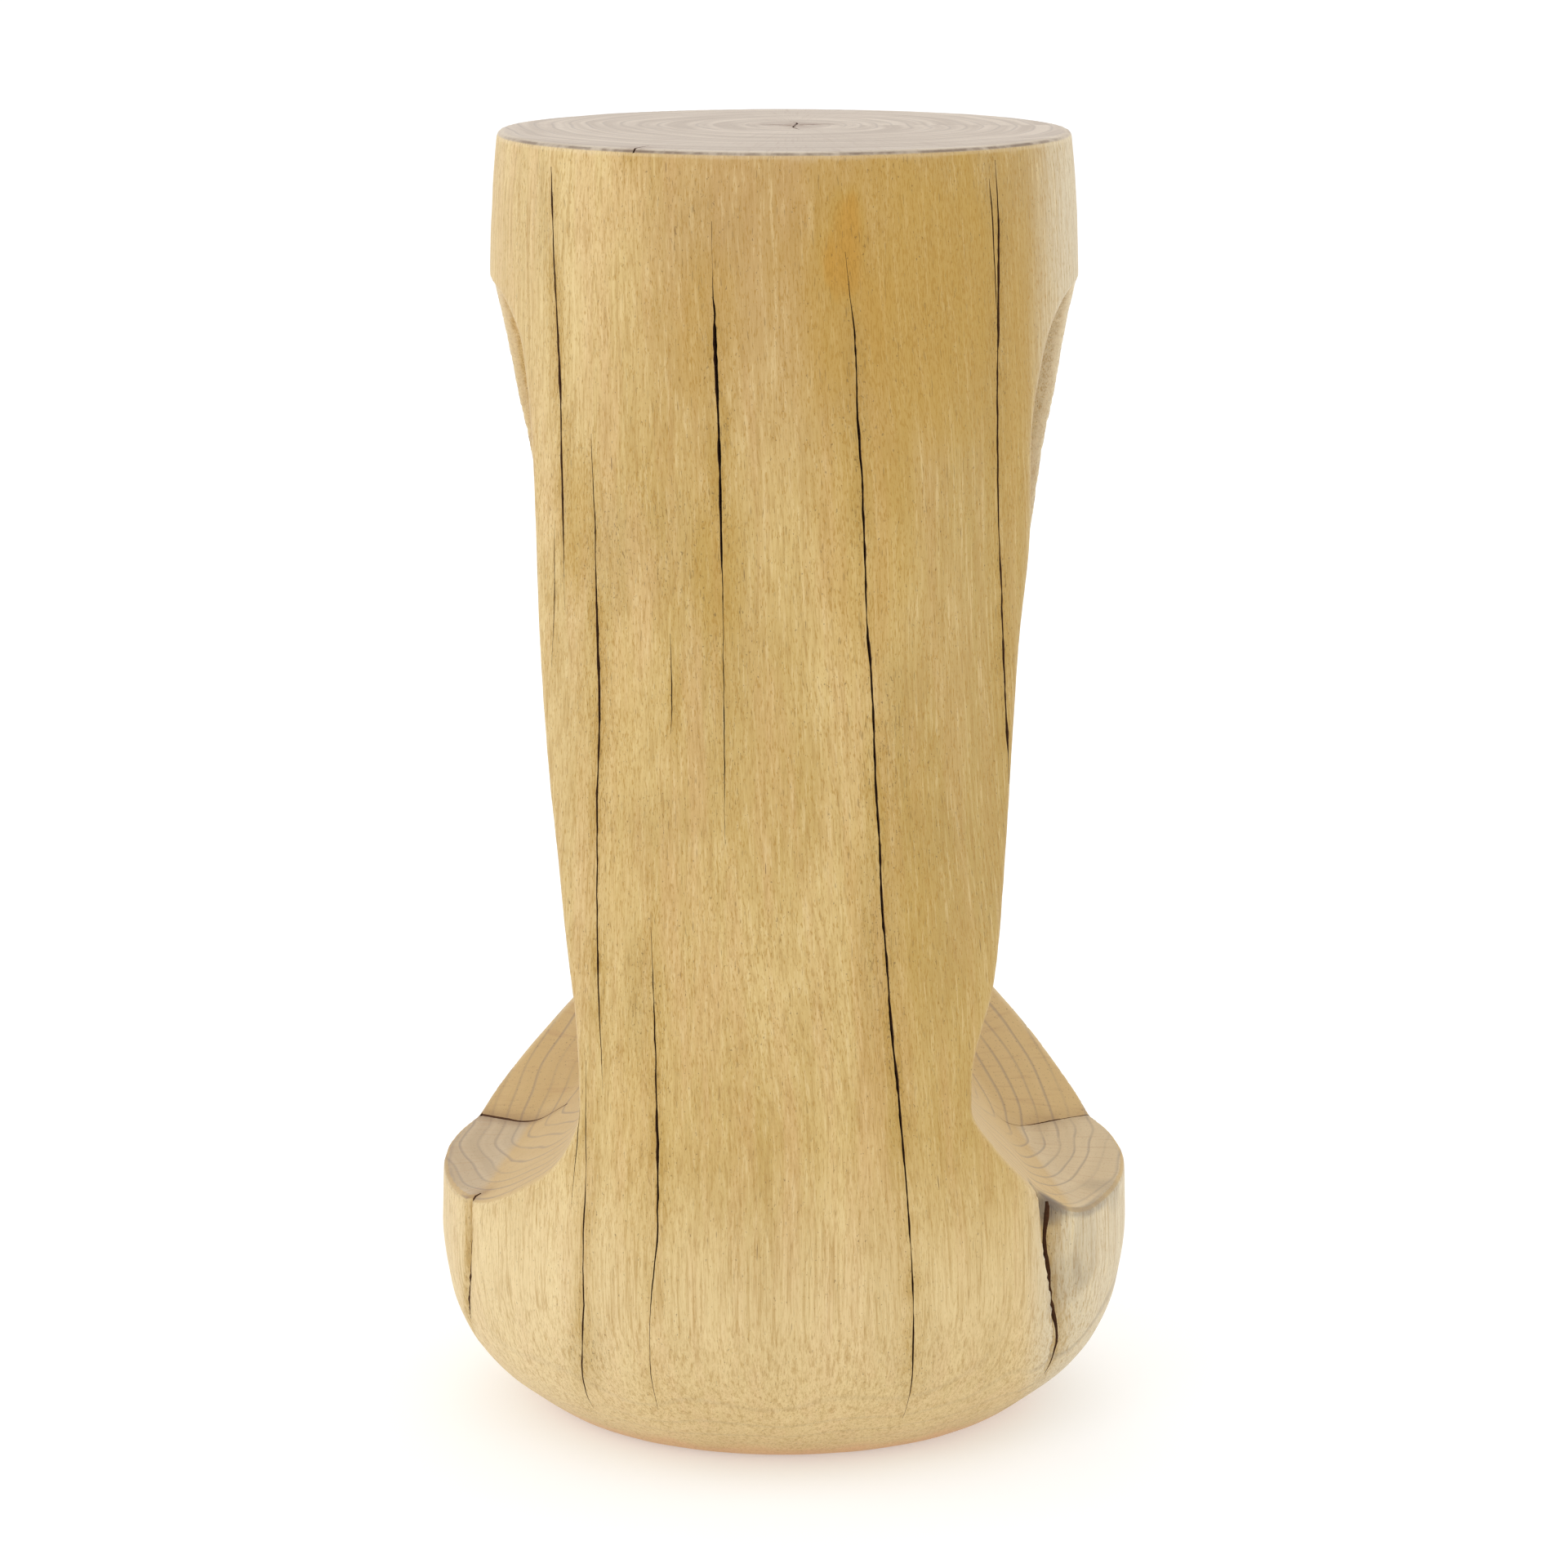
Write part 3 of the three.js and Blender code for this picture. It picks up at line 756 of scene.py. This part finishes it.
def wood():
    n = Nodes("bleached_wood")
    place = n.add("ShaderNodeTexCoord").outputs["Object"]
    split = n.add("ShaderNodeSeparateXYZ")
    n.put(split.inputs[0], place)
    x, y, z = (n.mul(s, 1000.0) for s in split.outputs)
    facing = n.add("ShaderNodeSeparateXYZ")
    n.put(facing.inputs[0], n.add("ShaderNodeNewGeometry").outputs["Normal"])
    end_grain = n.fade(facing.outputs[2], 0.32, 0.62)
    end_grain = n.math("MAXIMUM", end_grain, n.fade(facing.outputs[2], -0.9, -0.97))
    edge, painted_hollow_shade, shade, halo = (n.attribute(name) for name in ("edge", "painted_hollow_shade", "shade", "halo"))
    back = n.fade(y, 0, 30)

    # The grain leans the way the checks do, and wanders a little.
    wave = n.noise(n.vector(n.mul(x, 0.012), n.mul(y, 0.012), n.mul(z, 0.006)), 1.0)
    gx = n.plus(n.plus(x, n.mul(z, -GRAIN_LEAN)), n.mul(n.plus(wave, -0.5), 14.0))
    gy = n.plus(y, n.mul(n.plus(wave, -0.5), 9.0))

    def grain(across, along, detail=2.0, rough=0.55, shift=0.0):
        stretched = n.vector(
            n.mul(gx, 1 / across),
            n.mul(n.plus(gy, shift), 1 / across),
            n.mul(z, 1 / along),
        )
        return n.noise(stretched, detail, rough)

    broad = grain(30, 130, 3.0, 0.6)
    band = grain(8, 120, 2.0, 0.6, 31.0)
    streak = grain(1.3, 42, 3.0, 0.7, 7.0)
    fibre = grain(0.5, 9.0, 2.0, 0.6, 13.0)
    tick = grain(0.42, 2.4, 1.0, 0.5, 3.0)
    tick_b = grain(0.6, 5.5, 1.0, 0.5, 77.0)
    speck = grain(0.6, 1.2, 1.0, 0.5, 19.0)
    patch = grain(12, 30, 2.0, 0.5, 53.0)
    dash = grain(0.9, 26, 1.0, 0.5, 91.0)

    tan = n.mix(n.fade(broad, 0.3, 0.7), srgb(190, 159, 93), srgb(211, 183, 122))
    tan = n.mix(n.fade(band, 0.42, 0.7, 0.0, 0.55), tan, srgb(205, 168, 114))
    pinkish = n.mul(n.fade(z, 320, 410), n.fade(x, 62, 20))
    tan = n.mix(n.mul(pinkish, 0.7), tan, srgb(182, 146, 92))
    # Painted shade: the right side of the back darker, where less light falls.
    tan = n.mix(n.mul(n.fade(x, -20, -70), n.fade(z, 90, 240, 0.15, 0.62)), tan, srgb(174, 146, 84))
    # Paler towards the bottom; the paler left side is painted light falling from the left.
    pale_low = n.fade(z, 130, 60, 0.0, 0.38)
    painted_light_left = n.fade(x, 35, 88, 0.0, 0.26)
    tan = n.mix(n.plus(pale_low, painted_light_left), tan, srgb(236, 216, 172))
    tan = n.mix(n.fade(x, -80, -96, 0.0, 0.8), tan, srgb(212, 200, 172))
    tan = n.mix(n.fade(streak, 0.48, 0.68, 0.0, 0.52), tan, srgb(172, 136, 74))
    tan = n.mix(n.fade(streak, 0.48, 0.32, 0.0, 0.36), tan, srgb(228, 205, 154))
    tan = n.mix(n.fade(fibre, 0.5, 0.75, 0.0, 0.48), tan, srgb(162, 124, 62))

    # Stains, and the ochre and dark ticks that gather in them and along the checks.
    wander = n.mul(n.plus(patch, -0.5), 2.2)
    ochre = n.mul(stains(n, (x, z), wander, OCHRE_STAINS), back)
    dark = n.mul(stains(n, (x, z), wander, DARK_STAINS), back)
    rough_halo = n.mul(halo, n.fade(n.plus(patch, n.mul(streak, 0.6)), 0.55, 0.95, 0.35, 1.0))
    ochre = n.math("MAXIMUM", ochre, n.mul(rough_halo, 0.75))
    dark = n.math("MAXIMUM", dark, n.mul(rough_halo, 0.8))
    tan = n.mix(n.mul(ochre, 0.75), tan, srgb(182, 144, 56))
    tan = n.mix(n.fade(ochre, 0.72, 1.0, 0.0, 0.42), tan, srgb(186, 128, 34))
    more = n.plus(n.mul(ochre, 0.1), n.fade(patch, 0.45, 0.75, 0.0, 0.05))
    tick_mask = n.fade(n.plus(tick, more), 0.58, 0.70)
    tan = n.mix(n.mul(tick_mask, n.fade(z, 60, 190, 0.26, 0.52)), tan, srgb(164, 122, 44))
    tick_mask_b = n.fade(n.plus(tick_b, n.mul(dark, 0.08)), 0.68, 0.76)
    tan = n.mix(n.mul(tick_mask_b, n.fade(z, 60, 190, 0.25, 0.42)), tan, srgb(118, 92, 46))
    lean_to_dark = n.plus(n.mul(dark, 0.11), n.mul(n.plus(patch, -0.5), 0.1))
    speck_mask = n.fade(n.plus(speck, lean_to_dark), 0.70, 0.78)
    tan = n.mix(n.mul(speck_mask, 0.5), tan, srgb(88, 68, 36))
    tan = n.mix(n.fade(n.plus(dash, n.mul(dark, 0.05)), 0.77, 0.83, 0.0, 0.65), tan, srgb(92, 64, 32))
    tan = n.mix(n.mul(dark, 0.25), tan, srgb(140, 112, 58))

    end, line = end_grain_colour(n, x, y, z, facing.outputs[2])
    beyond = n.plus(n.mul(x, -0.682), n.mul(y, -0.731))  # past the right leg groove where positive
    lobe = n.mul(n.fade(beyond, 0, 5), n.fade(x, -60, -75))
    low_line = n.math("MAXIMUM", n.mul(lobe, n.fade(z, 92, 84)), n.fade(z, 60, 20, 0.0, 0.4))
    tan = n.mix(n.mul(n.mul(line, low_line), 0.35), tan, srgb(140, 122, 100))
    colour = n.mix(end_grain, tan, end)

    # Pale edges on the torso, partly worn wood and partly painted highlight, grey ones round the ledges with a
    # dark smudge on the lobe's near rim, and a dark line under the crown's rim that is painted shadow.
    grey_side = n.math("MAXIMUM", lobe, n.fade(x, 20, 40))
    grey_rim = n.mul(grey_side, n.fade(z, 104, 97))
    rim_colour = n.mix(grey_rim, srgb(240, 226, 196), srgb(132, 112, 104))
    lobe_rim = n.mul(lobe, n.fade(z, 104, 97))
    rim_colour = n.mix(lobe_rim, rim_colour, srgb(104, 96, 94))
    edge_wear_and_painted_highlight = n.mul(n.fade(edge, 0.16, 0.5), n.fade(y, -60, 0, 0.25, 0.7))
    near_rim = n.mul(n.mul(lobe_rim, n.fade(y, 28, 58)), n.fade(patch, 0.36, 0.6, 0.25, 1.0))
    fainter_on_lobe = n.mul(edge_wear_and_painted_highlight, n.fade(lobe_rim, 0.0, 1.0, 1.0, 0.4))
    smudged = n.mul(near_rim, n.fade(edge, 0.05, 0.28, 0.0, 0.5))
    edge_wear_and_painted_highlight = n.math("MAXIMUM", fainter_on_lobe, smudged)
    colour = n.mix(edge_wear_and_painted_highlight, colour, rim_colour)
    # Painted shade: darker brown in creases and recesses, tight ones and then wider ones.
    colour = n.mix(n.fade(painted_hollow_shade, 0.15, 0.7, 0.0, 0.5), colour, srgb(112, 74, 44))
    colour = n.mix(n.fade(shade, 0.1, 0.75, 0.0, 0.3), colour, srgb(160, 118, 72))
    colour = n.mix(n.mul(halo, n.mul(end_grain, 0.45)), colour, srgb(120, 84, 60))
    grey = stains(n, (x, y, z), n.mul(wander, 1.2), GREY_STAINS)
    colour = n.mix(n.mul(grey, 0.75), colour, srgb(98, 90, 84))
    broken = n.noise(n.vector(n.mul(x, 0.11), n.mul(y, 0.11), 0.0), 3.0, 0.6)
    # Painted shadow: a dark line just under the crown's rim.
    rim = n.mul(n.fade(z, TOP_Z - 1.7, TOP_Z - 1.1), n.fade(z, TOP_Z - 0.3, TOP_Z - 0.8))
    rim = n.mul(n.mul(rim, n.fade(y, 15, 60)), n.fade(broken, 0.34, 0.6, 0.3, 1.0))
    colour = n.mix(n.mul(rim, 0.7), colour, srgb(94, 70, 50))

    # A paler reddish foot where the wood meets the floor: partly the wood's reddish tone, partly painted light
    # lifting the contact shadow.
    foot_tone_and_painted_bounce = n.fade(n.plus(z, n.mul(patch, 9.0)), 14.0, 6.0, 0.0, 0.55)
    colour = n.mix(foot_tone_and_painted_bounce, colour, srgb(222, 170, 128))
    n.put(n.shader.inputs["Base Color"], colour)

    rough = n.plus(0.5, n.mul(tick_mask, 0.12))
    n.put(n.shader.inputs["Roughness"], n.plus(rough, n.mul(end_grain, 0.14)))
    n.shader.inputs["Specular IOR Level"].default_value = 0.3
    relief = n.plus(n.mul(tick_mask_b, -0.5), n.mul(streak, 0.35))
    relief = n.plus(relief, n.mul(speck_mask, -0.5))
    relief = n.plus(relief, n.mul(n.mul(line, end_grain), -0.3))
    bump = n.add("ShaderNodeBump")
    bump.inputs["Strength"].default_value = 0.3
    bump.inputs["Distance"].default_value = 0.0004
    n.put(bump.inputs["Height"], relief)
    n.put(n.shader.inputs["Normal"], bump.outputs[0])
    return n.material


def check_walls_painted_shade():
    n = Nodes("check_walls_painted_shade")
    place = n.add("ShaderNodeTexCoord").outputs["Object"]
    fibre = n.noise(place, 3.0, 0.6, scale=900.0)
    # The near-black brown of the check walls is painted shade inside the open checks.
    n.put(n.shader.inputs["Base Color"], n.mix(fibre, srgb(44, 24, 12), srgb(112, 70, 36)))
    n.shader.inputs["Roughness"].default_value = 0.85
    return n.material


figure_piece = carve_figure((wood(), check_walls_painted_shade()))
finish_skin(figure_piece)
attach(figure_piece, "root")
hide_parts("carved_log")

# ---------------------------------------------------------------- studio
floor_look = Nodes("studio_floor")
floor_tone = floor_look.noise(floor_look.add("ShaderNodeTexCoord").outputs["Object"], 2.0, scale=3.0)
floor_white = floor_look.mix(floor_tone, (0.69, 0.69, 0.69), (0.71, 0.71, 0.71))
floor_look.put(floor_look.shader.inputs["Base Color"], floor_white)
floor_look.shader.inputs["Roughness"].default_value = 0.9
floor_look.shader.inputs["Emission Color"].default_value = (1.0, 1.0, 1.0, 1.0)
floor_look.shader.inputs["Emission Strength"].default_value = 0.35
bpy.ops.mesh.primitive_plane_add(size=60, location=(0, 0, 0))
floor = bpy.context.object
floor.name = "studio_floor"
floor.data.materials.append(floor_look.material)


def area_light(name, place, target, size, power):
    data = bpy.data.lights.new(name, "AREA")
    data.shape = "DISK"
    data.size = size
    data.energy = power
    made = bpy.data.objects.new(name, data)
    bpy.context.scene.collection.objects.link(made)
    made.location = place
    made.rotation_euler = (Vector(target) - Vector(place)).to_track_quat("-Z", "Y").to_euler()
    return made


world = bpy.data.worlds.new("studio")
bpy.context.scene.world = world
world.use_nodes = True
world.node_tree.nodes["Background"].inputs[0].default_value = (1.0, 1.0, 1.0, 1.0)
world.node_tree.nodes["Background"].inputs[1].default_value = 1.0
area_light("key", (1.4, 2.0, 1.7), (0, 0, 0.25), 1.4, 7)
area_light("left", (2.2, -0.4, 1.0), (0, 0, 0.25), 1.4, 5)
area_light("right", (-2.2, -0.4, 1.0), (0, 0, 0.25), 1.4, 4)
area_light("front", (0, -2.4, 1.6), (0, 0, 0.25), 1.6, 6)

CAMERA_AWAY = 1.774
CAMERA_HIGH = 0.589
CAMERA_TILT = math.radians(11.64)
camera_data = bpy.data.cameras.new("camera")
camera_data.sensor_width = 36
camera_data.lens = 116.06
camera = bpy.data.objects.new("camera", camera_data)
bpy.context.scene.collection.objects.link(camera)
camera.location = (0, CAMERA_AWAY, CAMERA_HIGH)
camera.rotation_euler = (math.pi / 2 - CAMERA_TILT, 0, math.pi)
bpy.context.scene.camera = camera
bpy.context.scene.view_settings.view_transform = "Standard"
